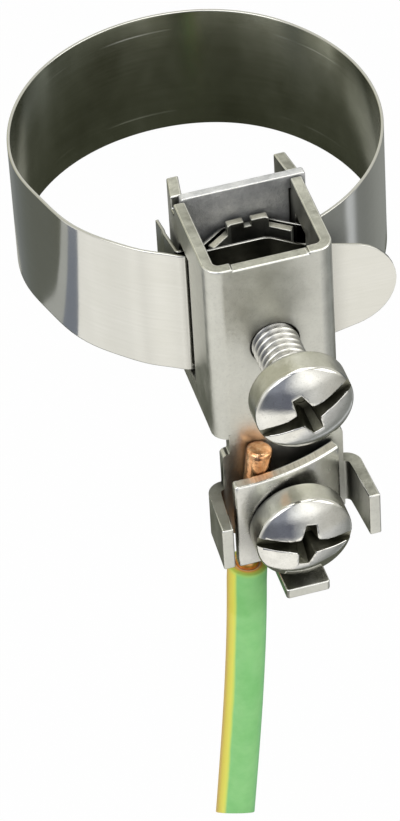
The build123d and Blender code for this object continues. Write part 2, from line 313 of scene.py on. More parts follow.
for i, (centre, radius) in enumerate(zip(tube_points, tube_radii)):
    nearest = min(range(len(sheath_line) - 1), key=lambda k: (sheath_line[k] - centre).length)
    ahead = (sheath_line[nearest + 1] - sheath_line[max(nearest - 1, 0)]).normalized()
    ring = wire_ring(centre, ahead, radius)
    if i in slanted:
        ring = onto_cut(ring, end_way, slanted[i])
    tube_rings.append(ring)
    tube_along.append((sheath_start - (cut_spot if i in slanted else centre)).length / MM)
tube_rings.append(tube_rings[0])
tube_along.append(tube_along[0])
# on the upper cut face the length runs from -1 at the copper to 0 at the outer edge
tube_along[0] = tube_along[1] = -1.0
sheath_tube = skin("sheath_tube", tube_rings, tube_along, ends=False)
weld = bmesh.new()
weld.from_mesh(sheath_tube.data)
bmesh.ops.remove_doubles(weld, verts=weld.verts, dist=0.001 * MM)
weld.to_mesh(sheath_tube.data)
weld.free()
smooth(sheath_tube, 40)

plastic, tree, surface, place = new_finish("green_and_yellow_plastic")
wrap = shade(tree, "SeparateXYZ", {"Vector": shade(tree, "TexCoord").outputs["UV"]})
turn, run = wrap.outputs["X"], wrap.outputs["Y"]
waver = reckoned(tree, "ADD", turn, spread(tree, blotches(tree, place, 6.0), -0.012, 0.012))
stripe_start, stripe_end = 98 / 360, 223 / 360
stripe = tones(tree, waver, [(0.0, grey(0)), (stripe_start, grey(0)), (stripe_start + 0.008, grey(1)),
                             (stripe_end - 0.012, grey(1)), (stripe_end + 0.006, grey(0))])
cloud = blotches(tree, place, 2.6, 4.0)
green = tones(tree, cloud, [(0.3, (0.25, 0.68, 0.21)), (0.7, (0.34, 0.76, 0.28))])
# painted shade: the green darkens to teal towards the sheath's front right side
green = mixed(tree, spread(tree, turn, 0.0, 0.55, 0.84, 0.96), green, (0.12, 0.52, 0.24))
# painted shade: across the stripe the yellow goes from a dull ochre to a bright yellow near the green, as
# shading round the sheath
yellow = tones(tree, turn, [(stripe_start, (0.85, 0.66, 0.12)), (0.5, (0.82, 0.58, 0.16)),
                            (0.55, (0.9, 0.78, 0.1)), (stripe_end - 0.03, (0.92, 0.88, 0.12)),
                            (stripe_end, (0.66, 0.86, 0.16))])
body = mixed(tree, stripe, green, yellow)
# painted glint: the sheath's upper cut face is drawn white and orange next to the copper, a painted
# reflection of the copper
rim = spread(tree, run, 0.0, 1.0, -1.0, 1.0)
rim_painted_glint = tones(tree, rim, [(0.0, grey(1)), (0.5, grey(0.8)), (0.6, grey(0.45)), (0.8, grey(0))])
rim_painted_glint = shade(tree, "SeparateXYZ", {"Vector": rim_painted_glint}).outputs["X"]
rim_glint_colour = tones(tree, rim, [(0.0, (1.0, 0.8, 0.5)), (0.14, (1.0, 0.5, 0.1)), (0.3, (0.8, 0.8, 0.12)),
                             (0.6, (0.5, 0.8, 0.16))])
body = mixed(tree, rim_painted_glint, body, rim_glint_colour)
tree.links.new(body, surface.inputs["Base Color"])
tree.links.new(spread(tree, cloud, 0.34, 0.5), surface.inputs["Roughness"])
surface.inputs["Subsurface Weight"].default_value = 0.12
surface.inputs["Subsurface Radius"].default_value = (0.6, 0.8, 0.3)
surface.inputs["Subsurface Scale"].default_value = 0.6 * MM
grain = blotches(tree, place, 0.5, 3.0)
tree.links.new(relief(tree, grain, 0.12, 0.05), surface.inputs["Normal"])
sheath_tube.data.materials.append(plastic)
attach(sheath_tube, "frame")
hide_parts("conductor_sheath")


# Strap: one band of half-bright stainless sheet. Its rounded tail lies in
# front, the band goes round the pipe and comes back through the housing
# behind the saddle, and its end is hooked back outside the left wall.
loop_middle = 23.5
strap_gauge = 0.4
half_strap = 9.35
edge_round = 0.09
tail_reach = 18.25
tail_taper_start = 2.0
tail_slope = math.radians(14.4)
tail_end_radius = (half_strap - (tail_reach - tail_taper_start) * math.tan(tail_slope)) / (
    1 / math.cos(tail_slope) - math.tan(tail_slope))
tail_end_middle = tail_reach - tail_end_radius


def bent_line(points, radii, step):
    """Points along straight runs that are joined by round bends."""
    line = []

    def go_straight(start, end):
        count = max(1, int((end - start).length / step))
        line.extend(start.lerp(end, i / count) for i in range(count))

    here = points[0]
    for before, corner, after, radius in zip(points, points[1:], points[2:], radii):
        way_in = (corner - before).normalized()
        way_out = (after - corner).normalized()
        turn = way_in.angle(way_out)
        back = radius * math.tan(turn / 2)
        start, end = corner - way_in * back, corner + way_out * back
        go_straight(here, start)
        middle = corner + (way_out - way_in).normalized() * (radius / math.cos(turn / 2))
        first, last = start - middle, end - middle
        count = max(3, int(math.degrees(turn) / 7))
        for i in range(count):
            line.append(middle + first.slerp(last, i / count).normalized() * radius)
        here = end
    go_straight(here, points[-1])
    line.append(points[-1])
    return line


def touch_turn(corner, side):
    """Angle on the loop at which a straight run from a corner touches it."""
    return math.atan2(corner.y, corner.x) + side * math.acos(loop_middle / corner.length)


def on_loop(turn):
    return Vector((loop_middle * math.cos(turn), loop_middle * math.sin(turn)))


left_corner = Vector((-8.4, -22.949))
right_corner = Vector((7.6, -22.45))
left_touch = touch_turn(left_corner, -1)
right_touch = touch_turn(right_corner, 1)
line_step = 0.5
tail_line = bent_line(
    [Vector((tail_reach, -24.85)), Vector((6.3, -24.4)), Vector((3.0, -22.949)), left_corner,
     on_loop(left_touch)],
    [2.0, 2.0, 2.0], line_step)
loop_steps = 220
loop_turn = left_touch + 2 * math.pi - right_touch
loop_line = [on_loop(left_touch - loop_turn * i / loop_steps) for i in range(1, loop_steps)]
hook_line = bent_line(
    [on_loop(right_touch), right_corner, Vector((3.4, -19.45)), Vector((-2.2, -19.45)),
     Vector((-5.9, -22.05)), Vector((-8.75, -21.9)), Vector((-9.4, -15.4))],
    [1.0, 1.5, 1.5, 1.5, 0.45], line_step)
strap_line = tail_line + loop_line + hook_line


loop_inmost = 20


def swell(turn, middle, width, height):
    """A soft bulge or dent of the loop about one angle, in degrees."""
    away = (turn - middle + 180) % 360 - 180
    return height * math.exp(-((away / width) ** 2))


def out_of_round(point):
    """Where the band really runs: the loop is not quite round, and the rest stays."""
    turn = math.degrees(math.atan2(point.y, point.x))
    reach = point.length
    if reach < loop_inmost:
        return point
    push = swell(turn, -163, 13, -0.6) + swell(turn, 62, 26, 0.45) + swell(turn, -122, 7, 0.35)
    return point * ((reach + push) / reach)


strap_line = [out_of_round(point) for point in strap_line]


def band_half_height(x, on_tail):
    """Half the band's width, less where the tail tapers to its round end."""
    if not on_tail or x < tail_taper_start:
        return half_strap
    touch_x = tail_end_middle + tail_end_radius * math.sin(tail_slope)
    if x < touch_x:
        return half_strap - (x - tail_taper_start) * math.tan(tail_slope)
    return math.sqrt(max(tail_end_radius**2 - (x - tail_end_middle) ** 2, 0.04))


def band_section(half):
    """Half thickness and height round the band's section, with rounded edges."""
    across = strap_gauge / 2
    bend = min(edge_round, half * 0.4)
    corner = []
    for i in range(4):
        turn = math.pi / 2 * i / 3
        corner.append((across - bend + bend * math.cos(turn), half - bend + bend * math.sin(turn)))
    heights = [(half - bend) * share for share in (-0.985, -0.7, -0.35, 0, 0.35, 0.7, 0.985)]
    outside = [(across, height) for height in heights]
    right_low = [(side, -height) for side, height in reversed(corner)]
    left_top = [(-side, height) for side, height in reversed(corner)]
    left_low = [(-side, -height) for side, height in corner]
    inside = [(-across, -height) for height in heights]
    return right_low + outside + corner + left_top + inside + left_low


fine_tail = [tail_reach - tail_end_radius * (1 - math.cos(math.radians(turn))) for turn in range(0, 80, 10)]
strap_rings, strap_run = [], []
first_way = (tail_line[1] - tail_line[0]).normalized()
tail_points = [strap_line[0] + first_way * ((tail_reach - x) / abs(first_way.x)) for x in fine_tail]
fine_reach = (tail_points[-1] - strap_line[0]).length + 0.3
band_line = tail_points + [point for point in strap_line if (point - strap_line[0]).length > fine_reach]
for i, centre in enumerate(band_line):
    ahead = (band_line[min(i + 1, len(band_line) - 1)] - band_line[max(i - 1, 0)]).normalized()
    side = Vector((-ahead.y, ahead.x))
    on_tail = i < len(tail_line) and centre.x > 0 and centre.y < 0
    half = band_half_height(centre.x, on_tail)
    strap_rings.append([
        Vector(((centre.x + side.x * across) * MM, (centre.y + side.y * across) * MM, height * MM))
        for across, height in band_section(half)
    ])
    strap_run.append(strap_run[-1] + (centre - band_line[i - 1]).length if i else 0.0)
strap_band = skin("strap_band", strap_rings, strap_run)
smooth(strap_band, 40)

def places_on_strip(tree, place):
    """Places on the band in millimetres, X along it and Y up it."""
    wrap = shade(tree, "SeparateXYZ", {"Vector": shade(tree, "TexCoord").outputs["UV"]})
    height = shade(tree, "SeparateXYZ", {"Vector": place}).outputs["Z"]
    return shade(tree, "CombineXYZ", {"X": wrap.outputs["Y"], "Y": height}).outputs["Vector"]


strip, tree, surface, place = new_finish("half_bright_strip")
rolled = places_on_strip(tree, place)
lines = blotches(tree, stretched(tree, rolled, (0.12, 3.0, 1.0)), 1.0, 5.0, 0.6)
clouds = blotches(tree, rolled, 7.0, 3.0)
tint = tones(tree, lines, [(0.25, (0.7, 0.695, 0.655)), (0.5, (0.725, 0.72, 0.68)),
                           (0.8, (0.75, 0.745, 0.71))])
tint = mixed(tree, spread(tree, clouds, 0.0, 0.35, 0.4, 0.7), tint, (0.66, 0.655, 0.6))
# painted shade: the band darkens nearly to black where other parts come within 6 mm of it
tint = crevice_painted_shade(tree, tint, 6.0, grey(0.06))
tree.links.new(tint, surface.inputs["Base Color"])
surface.inputs["Metallic"].default_value = 1.0
tree.links.new(spread(tree, clouds, 0.09, 0.14), surface.inputs["Roughness"])
swirls = blotches(tree, stretched(tree, rolled, (0.1, 0.06, 1.0)), 1.0, 1.5)
wavy = relief(tree, swirls, 0.25, 0.35)
tree.links.new(relief(tree, lines, 0.025, 0.02, wavy), surface.inputs["Normal"])

# The band's inner face: a darker, rougher copy of the band's steel; its darker tone is painted shade inside
# the loop.
strip_inside_painted_shade, tree, surface, place = new_finish("strip_inside_with_painted_shade")
rolled = places_on_strip(tree, place)
lines = blotches(tree, stretched(tree, rolled, (0.08, 2.2, 1.0)), 1.0, 5.0, 0.6)
clouds = blotches(tree, rolled, 9.0, 3.0)
bands = blotches(tree, stretched(tree, rolled, (0.075, 0.05, 1.0)), 1.0, 4.0)
tint = tones(tree, bands, [(0.32, (0.15, 0.155, 0.1)), (0.5, (0.27, 0.28, 0.21)),
                           (0.66, (0.42, 0.43, 0.36))])
tint = mixed(tree, spread(tree, clouds, 0.0, 0.4, 0.4, 0.7), tint, (0.26, 0.27, 0.19))
tint = mixed(tree, spread(tree, lines, 0.0, 0.22, 0.35, 0.8), tint, (0.5, 0.5, 0.45))
# two fine lines scored along the inside, one near each edge, that fade in and out; they are drawn near
# white, a painted glint on the real scored lines
score_height = 6.75
score_width = 0.16
height = shade(tree, "SeparateXYZ", {"Vector": rolled}).outputs["Y"]
beside = reckoned(tree, "SUBTRACT", reckoned(tree, "ABSOLUTE", height), score_height)
score_painted_glint = spread(tree, reckoned(tree, "ABSOLUTE", beside), 1.0, 0.0, 0.0, score_width)
patches = blotches(tree, stretched(tree, rolled, (1.0, 0.02, 1.0)), 16.0, 2.0)
score_painted_glint = reckoned(tree, "MULTIPLY", score_painted_glint, spread(tree, patches, 0.0, 1.0, 0.48, 0.62))
tint = mixed(tree, score_painted_glint, tint, (0.9, 0.9, 0.86))
tree.links.new(tint, surface.inputs["Base Color"])
surface.inputs["Metallic"].default_value = 1.0
tree.links.new(spread(tree, clouds, 0.15, 0.26), surface.inputs["Roughness"])
tree.links.new(relief(tree, lines, 0.1, 0.03), surface.inputs["Normal"])


def satin_steel(name, dark, light, sheen, rough_spread, dents, tiny, reach=3.0, least=0.25):
    """Tumbled stainless steel: cloudy, with fine pits and softly uneven faces, and painted shade that
    darkens it in crevices.
    """
    material, tree, surface, place = new_finish(name)
    clouds = blotches(tree, place, 3.2, 4.0, 0.6)
    pits = blotches(tree, place, 0.35, 4.0, 0.7)
    tint = tones(tree, clouds, [(0.3, dark), (0.7, light)])
    worn = spread(tree, pits, 0.0, 0.35, 0.52, 0.75)
    tint = mixed(tree, worn, tint, tuple(share * 0.72 for share in dark))
    tint = crevice_painted_shade(tree, tint, reach, (share * least for share in dark))
    tree.links.new(tint, surface.inputs["Base Color"])
    surface.inputs["Metallic"].default_value = 1.0
    tree.links.new(spread(tree, clouds, sheen, sheen + rough_spread, 0.3, 0.7), surface.inputs["Roughness"])
    uneven = relief(tree, blotches(tree, place, 2.4, 2.0), dents, 0.3)
    tree.links.new(relief(tree, pits, tiny, 0.05, uneven), surface.inputs["Normal"])
    return material


# A near-black copy of the satin steel: painted shade on the band's front layer inside the box, where it
# faces the front wall.
box_strip_painted_shade = satin_steel("band_in_box_painted_shade", (0.05, 0.05, 0.04), (0.12, 0.12, 0.1), 0.4, 0.1, 0.1, 0.3)
for finish in (strip, strip_inside_painted_shade, box_strip_painted_shade):
    strap_band.data.materials.append(finish)
box_half_width = 6.7
loop_front = -22.2
tail_back = -22.8
# Faces on the loop's inside take the copy with painted shade; faces in the box that face the front wall take
# the near-black painted shade.
for face in strap_band.data.polygons:
    middle = face.center / MM
    reach = math.hypot(middle.x, middle.y)
    inward = -(face.normal.x * middle.x + face.normal.y * middle.y)
    if reach > 21 and inward > 0.8 * reach and middle.y > loop_front:
        face.material_index = 1
    elif abs(middle.x) < box_half_width and middle.y < tail_back and face.normal.y < -0.5:
        face.material_index = 2
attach(strap_band, "frame")
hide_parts("strap")


# Housing: one stamping of 1.5 mm stainless sheet, folded into a box with two
# prongs, a terminal plate below it, two side wings and a bottom tongue. It
# was tumbled after folding, so its edges are broken and its faces satin.
def ease_edges(piece, width, steps, chosen):
    """Round the sharp edges that are chosen by their ends, in millimetres, and their length."""
    solid = bmesh.new()
    solid.from_mesh(piece.data)
    weight = solid.edges.layers.float.new("bevel_weight_edge")
    for edge in solid.edges:
        if len(edge.link_faces) == 2 and edge.calc_face_angle() > math.radians(30):
            if chosen([vertex.co / MM for vertex in edge.verts], edge.calc_length() / MM):
                edge[weight] = 1.0
    solid.to_mesh(piece.data)
    solid.free()
    rounds = piece.modifiers.new("rounds", "BEVEL")
    rounds.width = width * MM
    rounds.segments = steps
    rounds.limit_method = "WEIGHT"
    rounds.use_clamp_overlap = False


def every_edge(ends, length):
    return True


def eased_copy(name, node, width, chosen=every_edge):
    """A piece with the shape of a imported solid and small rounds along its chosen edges."""
    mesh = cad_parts[node].data.copy()
    mesh.materials.clear()
    solid = bmesh.new()
    solid.from_mesh(mesh)
    bmesh.ops.remove_doubles(solid, verts=solid.verts, dist=0.002 * MM)
    bmesh.ops.dissolve_limit(solid, angle_limit=math.radians(0.8), verts=solid.verts, edges=solid.edges)
    solid.to_mesh(mesh)
    solid.free()
    mesh.normals_split_custom_set([(0, 0, 0)] * len(mesh.loops))
    piece = bpy.data.objects.new(name, mesh)
    bpy.context.scene.collection.objects.link(piece)
    ease_edges(piece, width, 3, chosen)
    return piece


def settled(piece):
    """Make what the modifiers show the piece's own mesh."""
    graph = bpy.context.evaluated_depsgraph_get()
    shaped = bpy.data.meshes.new_from_object(piece.evaluated_get(graph), depsgraph=graph)
    old = piece.data
    piece.modifiers.clear()
    piece.data = shaped
    bpy.data.meshes.remove(old)


def fix_shape(piece, angle=35.0):
    """Keep the rounds as the piece's own mesh, with even shading between its creases."""
    settled(piece)
    piece.data.shade_smooth()
    piece.data.set_sharp_from_angle(angle=math.radians(angle))
    lit = piece.modifiers.new("lit", "WEIGHTED_NORMAL")
    lit.keep_sharp = True
    lit.weight = 60
    settled(piece)


def show_cut_faces(piece, share=0.97):
    """Give the second finish to the faces that look up or down, where the sheet was cut."""
    for face in piece.data.polygons:
        if abs(face.normal.z) > share:
            face.material_index = 1


notch_foot, notch_top, notch_half_width, notch_back = -13, -12, 7, -31
box_foot = -11.5
wing_foot = -28.3
wing_top = -19
plate_back = -32
shortest_round = 1.2


def housing_edge(ends, length):
    """All edges of the box and tongue, and the long ones between, but for those behind the plate."""
    foot, top = min(end.z for end in ends), max(end.z for end in ends)
    for end in ends:
        if notch_foot < end.z < notch_top and abs(end.x) < notch_half_width and end.y < notch_back:
            return False
    if foot > box_foot or top < wing_foot:
        return True
    return length > shortest_round and not (max(end.y for end in ends) > plate_back and top < wing_top)


housing_stamping = eased_copy("housing_stamping", "housing", 0.22, housing_edge)
fix_shape(housing_stamping)

tumbled = satin_steel("tumbled_stamping", (0.63, 0.63, 0.58), (0.78, 0.78, 0.72), 0.3, 0.12, 0.16, 0.5)
sheared = satin_steel("sheared_stamping", (0.3, 0.3, 0.26), (0.62, 0.62, 0.55), 0.32, 0.24, 0.6, 1.4)
# A bright, smooth copy of the steel for the small edge rounds: a painted highlight along the edges.
edge_painted_highlight = satin_steel("stamping_edge_painted_highlight", (0.8, 0.8, 0.76), (0.9, 0.9, 0.87), 0.16, 0.1, 0.3, 0.3)
# A darker copy of the same steel: painted shade on the box's inner walls, the tongue's left-facing side and
# the left wing's upward faces.
stamping_painted_shade = satin_steel("stamping_with_painted_shade", (0.26, 0.26, 0.22), (0.42, 0.42, 0.38),
                           0.4, 0.15, 0.16, 0.5)
for finish in (tumbled, sheared, edge_painted_highlight, stamping_painted_shade):
    housing_stamping.data.materials.append(finish)
show_cut_faces(housing_stamping)
# The small edge-round faces take the painted highlight; the box's inner walls, the tongue's left side and
# the left wing's upward faces take the painted shade.
for face in housing_stamping.data.polygons:
    middle = face.center / MM
    in_the_box = middle.z > -12.6 and abs(middle.x) < 6.75 and middle.y > -31.95
    tongue_side = middle.z < -29 and face.normal.x < -0.3
    wing_edge = middle.x < -7 and middle.z < -12 and face.normal.z > 0.5
    if 0.3 < abs(face.normal.z) < 0.95 and face.area < 12 * MM * MM:
        face.material_index = 2
    elif (in_the_box and abs(face.normal.z) < 0.3) or tongue_side or wing_edge:
        face.material_index = 3
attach(housing_stamping, "frame")
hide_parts("housing")


# Back plate: a flat piece of 1.2 mm sheet whose ears drop into notches of the
# two side walls. The strap's back layer is pulled against it.
rear_plate = eased_copy("rear_plate", "back_plate", 0.2)
fix_shape(rear_plate)
plate_finish = satin_steel("rolled_plate", (0.48, 0.49, 0.5), (0.84, 0.84, 0.83),
                           0.42, 0.12, 0.4, 2.2, 1.5, 0.5)
plate_finish.node_tree.nodes["Principled BSDF"].inputs["Metallic"].default_value = 0.62
rear_plate.data.materials.append(plate_finish)
rear_plate.data.materials.append(edge_painted_highlight)
# The plate's rounded upper front edge takes the painted highlight.
for face in rear_plate.data.polygons:
    if 0.3 < face.normal.z < 0.95 and face.normal.y < 0:
        face.material_index = 1
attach(rear_plate, "frame")
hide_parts("back_plate")


# Saddle: an arched strip of 1 mm sheet between the two layers of the strap,
# with two short lugs at its top and two at its bottom that keep it in place.
pressure_saddle = eased_copy("pressure_saddle", "saddle", 0.14)
fix_shape(pressure_saddle)
saddle_finish = satin_steel("pressed_saddle", (0.46, 0.46, 0.41), (0.64, 0.64, 0.58),
                            0.3, 0.12, 0.2, 0.5, 1.5, 0.5)
saddle_edge = satin_steel("sheared_saddle", (0.62, 0.6, 0.5), (0.78, 0.76, 0.66), 0.5, 0.15, 0.3, 0.7)
pressure_saddle.data.materials.append(saddle_finish)
pressure_saddle.data.materials.append(saddle_edge)
show_cut_faces(pressure_saddle)
lug_gap_middle, lug_gap_half = 0.7 * MM, 0.5 * MM
lug_foot = 9.8 * MM
# painted shade: the cut faces in the gap between the lugs take the darker face finish instead of the bright
# cut-edge one
for face in pressure_saddle.data.polygons:
    if abs(face.center.z) < lug_foot and abs(face.center.x - lug_gap_middle) < lug_gap_half:
        face.material_index = 0
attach(pressure_saddle, "frame")
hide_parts("saddle")


# Screws: two M6 pan heads of bright stainless steel, with a driver slot right
# across the head and a cross recess in its middle. The thread is rolled.
head_radius = 6.2
head_side = 3.4
head_top = 5.2
dome_radius = (head_radius**2 + (head_top - head_side) ** 2) / (2 * (head_top - head_side))
thread_crest = 3.0
thread_root = 2.45
pitch = 1.0
screw_turns = 96
thread_turns = 64
thread_lead = 0.6
slot_length, slot_foot_width, slot_mouth_width, slot_depth = 14, 1.3, 1.7, 2.1
recess_depth = 3.6
mouth_height = head_top + 0.3


def spun(radius, turn, height):
    """A point of a turned body, in metres."""
    return Vector((radius * math.cos(turn), radius * math.sin(turn), height)) * MM


def round_body(name, profile, steps):
    """A turned body: radius and height pairs, spun about its axis."""
    rings = []
    for radius, height in profile:
        rings.append([spun(radius, 2 * math.pi * j / steps, height) for j in range(steps)])
    return skin(name, rings, [height for radius, height in profile])


def pit(name, foot, foot_height, mouth):
    """A cutter between two outlines, a smaller one deep in the head and a larger one above it."""
    rings = []
    for outline, height in ((foot, foot_height), (mouth, mouth_height)):
        rings.append([Vector((x, y, height)) * MM for x, y in outline])
    return skin(name, rings, [0.0, 1.0])


def oblong(length, width):
    x, y = length / 2, width / 2
    return [(-x, -y), (x, -y), (x, y), (-x, y)]


def cross(reach, tip, root):
    """Outline of a cross recess: four arms that are a little wider where they meet."""
    quarter = [(reach, -tip), (reach, tip), (root, root)]
    outline = []
    for turn in range(4):
        outline += quarter
        quarter = [(-y, x) for x, y in quarter]
    return outline


def cut_with(piece, cutters):
    """Take the cutters out of a piece."""
    for cutter in cutters:
        for other in (piece, cutter):
            smooth(other)
        cut = piece.modifiers.new("cut", "BOOLEAN")
        cut.operation = "DIFFERENCE"
        cut.solver = "EXACT"
        cut.object = cutter
        settled(piece)
        bpy.data.objects.remove(cutter)


def dome_height(radius):
    """Height of the head's domed top at this distance from its axis."""
    return head_top - dome_radius + math.sqrt(dome_radius**2 - radius**2)


def is_recess_edge(ends, length):
    """The upper edges of the slot and the cross, but not their ends at the head's rim."""
    return all(end.xy.length < 5.5 and end.z > 3.5 for end in ends)


def pan_head(name):
    """The head alone, seat at height 0, with its slot and cross cut and its edges eased."""
    profile = [(2.4, 0.0), (5.91, 0.0), (6.09, 0.06), (6.19, 0.22), (6.2, 0.5), (6.2, 1.8), (6.2, 3.0)]
    for i in range(1, 6):
        turn = math.radians(13 * i)
        profile.append((5.68 + 0.52 * math.cos(turn), 3.02 + 0.6 * math.sin(turn)))
    for radius in (5.55, 5.2, 4.8, 4.3, 3.7, 3.0, 2.2, 1.4, 0.7, 0.12):
        profile.append((radius, dome_height(radius)))
    head = round_body(name, profile, screw_turns)
    slot = pit(name + "_slot", oblong(slot_length, slot_foot_width), head_top - slot_depth,
               oblong(slot_length, slot_mouth_width))
    recess = pit(name + "_cross", cross(1.7, 0.45, 0.7), head_top - recess_depth, cross(3.6, 0.66, 1.12))
    middle = round_body(name + "_middle", [(0.7, head_top - 3.7), (1.72, mouth_height)], 40)
    cut_with(head, [slot, recess, middle])
    ease_edges(head, 0.13, 2, is_recess_edge)
    settled(head)
    # Faces in the slot and the cross take the painted shade; faces of the side band take the painted
    # reflection.
    for face in head.data.polygons:
        spot = face.center / MM
        reach = math.hypot(spot.x, spot.y)
        if reach < 6.0 and 0.5 < spot.z < dome_height(min(reach, head_radius)) - 0.14:
            face.material_index = 1
        elif reach > 5.9 and 0.3 < spot.z < 3.05:
            face.material_index = 3
    return head


def thread(name, length):
    """The shank with its rolled thread, running down from the head."""
    rings = []
    steps_per_pitch = 12
    rows = int(length * steps_per_pitch / pitch)
    along = []
    for i in range(rows + 1):
        depth = length * i / rows
        ring = []
        for j in range(thread_turns):
            turn = j / thread_turns
            ridge = 0.5 - 0.5 * math.cos(2 * math.pi * (depth / pitch + turn))
            radius = thread_root + (thread_crest - thread_root) * ridge**0.8
            radius = min(radius, thread_crest - 0.75 * max(0.0, thread_lead - (length - depth)))
            ring.append(spun(radius, 2 * math.pi * turn, -depth))
        rings.append(ring)
        along.append(depth)
    return skin(name, rings, along)


def joined(name, parts):
    """Several pieces made one, as they are one on the real object."""
    whole = bmesh.new()
    for part in parts:
        whole.from_mesh(part.data)
        bpy.data.objects.remove(part)
    mesh = bpy.data.meshes.new(name)
    whole.to_mesh(mesh)
    whole.free()
    piece = bpy.data.objects.new(name, mesh)
    bpy.context.scene.collection.objects.link(piece)
    return piece


def seat_screw(piece, seat_x, seat_y, height, slot_turn):
    """Turn the screw's axis from upright to -Y and put its seat in place."""
    place = Matrix.Translation(Vector((seat_x, seat_y, height)) * MM)
    piece.data.transform(place @ Matrix.Rotation(math.radians(90), 4, "X")
                         @ Matrix.Rotation(math.radians(slot_turn), 4, "Z"))


def bright_steel(name):
    """Bright stainless of a cold-headed screw: smooth, with fine handling marks."""
    material, tree, surface, place = new_finish(name)
    clouds = blotches(tree, place, 2.0, 3.0)
    marks = blotches(tree, place, 0.22, 4.0, 0.7)
    tint = tones(tree, clouds, [(0.3, (0.74, 0.73, 0.69)), (0.7, (0.85, 0.845, 0.81))])
    tint = mixed(tree, spread(tree, marks, 0.0, 0.5, 0.54, 0.75), tint, (0.48, 0.48, 0.43))
    tree.links.new(tint, surface.inputs["Base Color"])
    surface.inputs["Metallic"].default_value = 1.0
    tree.links.new(spread(tree, clouds, 0.07, 0.14, 0.3, 0.7), surface.inputs["Roughness"])
    uneven = relief(tree, blotches(tree, place, 1.5, 2.0), 0.1, 0.15)
    tree.links.new(relief(tree, marks, 0.1, 0.03, uneven), surface.inputs["Normal"])
    return material


bright = bright_steel("bright_screw_steel")
# A rougher, darker olive copy of the head's steel for the head's side band; its olive tone is a painted
# reflection of the surroundings.
head_side_painted_reflection = satin_steel("head_side_with_painted_reflection", (0.56, 0.56, 0.47), (0.76, 0.75, 0.68),
                          0.27, 0.08, 0.25, 0.5, 2.2)
# A dark copy of the satin steel: painted shade in the slot and the cross recess.
recess_painted_shade = satin_steel("recess_with_painted_shade", (0.15, 0.15, 0.11), (0.4, 0.39, 0.31),
                            0.34, 0.16, 0.4, 0.9, 1.6, 0.16)
thread_finish = satin_steel("rolled_thread", (0.7, 0.69, 0.64), (0.82, 0.81, 0.77), 0.2, 0.08, 0.1, 0.1)
terminal_hole = Vector((0.35, -33.4, -24.2))
for name, node, length, seat_x, seat_y, height, slot_turn in (
    ("tension_screw_piece", "tension_screw", 19.15, 0.0, -42.349, 1.45, 23.5),
    ("clamp_screw_piece", "clamp_screw", 12.0, terminal_hole.x, -38.274, terminal_hole.z, -11.0),
):
    shank = thread(name + "_shank", length)
    for face in shank.data.polygons:
        face.material_index = 2
    screw = joined(name, [pan_head(name + "_head"), shank])
    fix_shape(screw, 45)
    seat_screw(screw, seat_x, seat_y, height, slot_turn)
    for finish in (bright, recess_painted_shade, thread_finish, head_side_painted_reflection):
        screw.data.materials.append(finish)
    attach(screw, node)
    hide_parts(node)


# Clamp washer: a square of 1.6 mm sheet, arched, with a plain hole. One side
# lies on the conductor and the other on the terminal plate.
washer_low, washer_high = -30.15, -16.55
washer_left_side, washer_right_side = Vector((-7.3, -36.6)), Vector((6.7, -33.45))
washer_gauge = 1.6
washer_crown = 0.95
washer_hole_radius = 3.3
across = washer_right_side - washer_left_side
washer_tilt = math.atan2(across.y, across.x)
half_span = across.length / 2
arch_radius = (half_span**2 + washer_crown**2) / (2 * washer_crown)
arch_swing = math.asin(half_span / arch_radius)
washer_middle = (washer_left_side + washer_right_side) / 2
arch_steps = 28
washer_rows = 8
right_end_back = 0.96
washer_rings = []
for row in range(washer_rows + 1):
    level = washer_low + (washer_high - washer_low) * row / washer_rows
    ring = []
    for radius, order in ((arch_radius, 1), (arch_radius + washer_gauge, -1)):
        for i in range(arch_steps + 1):
            swing = arch_swing * (2 * i / arch_steps - 1) * order
            if order < 0 < swing:
                swing *= right_end_back
            local = Vector((radius * math.sin(swing), arch_radius - washer_crown - radius * math.cos(swing)))
            local.rotate(Matrix.Rotation(washer_tilt, 2))
            spot = washer_middle + local
            ring.append(Vector((spot.x, spot.y, level)) * MM)
    washer_rings.append(ring)
square_washer = skin("square_washer", washer_rings, [0.0] * len(washer_rings))
hole = round_body("washer_hole", [(washer_hole_radius, -12.0), (washer_hole_radius, 12.0)], 64)
hole.data.transform(Matrix.Translation(terminal_hole * MM) @ Matrix.Rotation(math.radians(90), 4, "X"))
smooth(square_washer)
ease_edges(square_washer, 0.32, 3, every_edge)
fix_shape(square_washer)
cut_with(square_washer, [hole])
washer_finish = satin_steel("bright_washer", (0.64, 0.635, 0.6), (0.76, 0.755, 0.72), 0.2, 0.1, 0.2, 0.14)
ribbed, tree, surface, place = new_finish("sheared_washer_edge")
ribs = blotches(tree, stretched(tree, place, (3.2, 0.25, 0.6)), 1.0, 3.0, 0.6)
tint = tones(tree, ribs, [(0.3, (0.52, 0.49, 0.42)), (0.5, (0.7, 0.66, 0.58)), (0.7, (0.82, 0.79, 0.72))])
tree.links.new(tint, surface.inputs["Base Color"])
surface.inputs["Metallic"].default_value = 1.0
tree.links.new(spread(tree, ribs, 0.32, 0.5), surface.inputs["Roughness"])
tree.links.new(relief(tree, ribs, 0.5, 0.12), surface.inputs["Normal"])
for finish in (washer_finish, ribbed, edge_painted_highlight):
    square_washer.data.materials.append(finish)
show_cut_faces(square_washer)
# The washer's rounded edges take the painted highlight.
for face in square_washer.data.polygons:
    if 0.25 < abs(face.normal.z) < 0.97:
        face.material_index = 2
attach(square_washer, "clamp_washer")
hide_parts("clamp_washer")


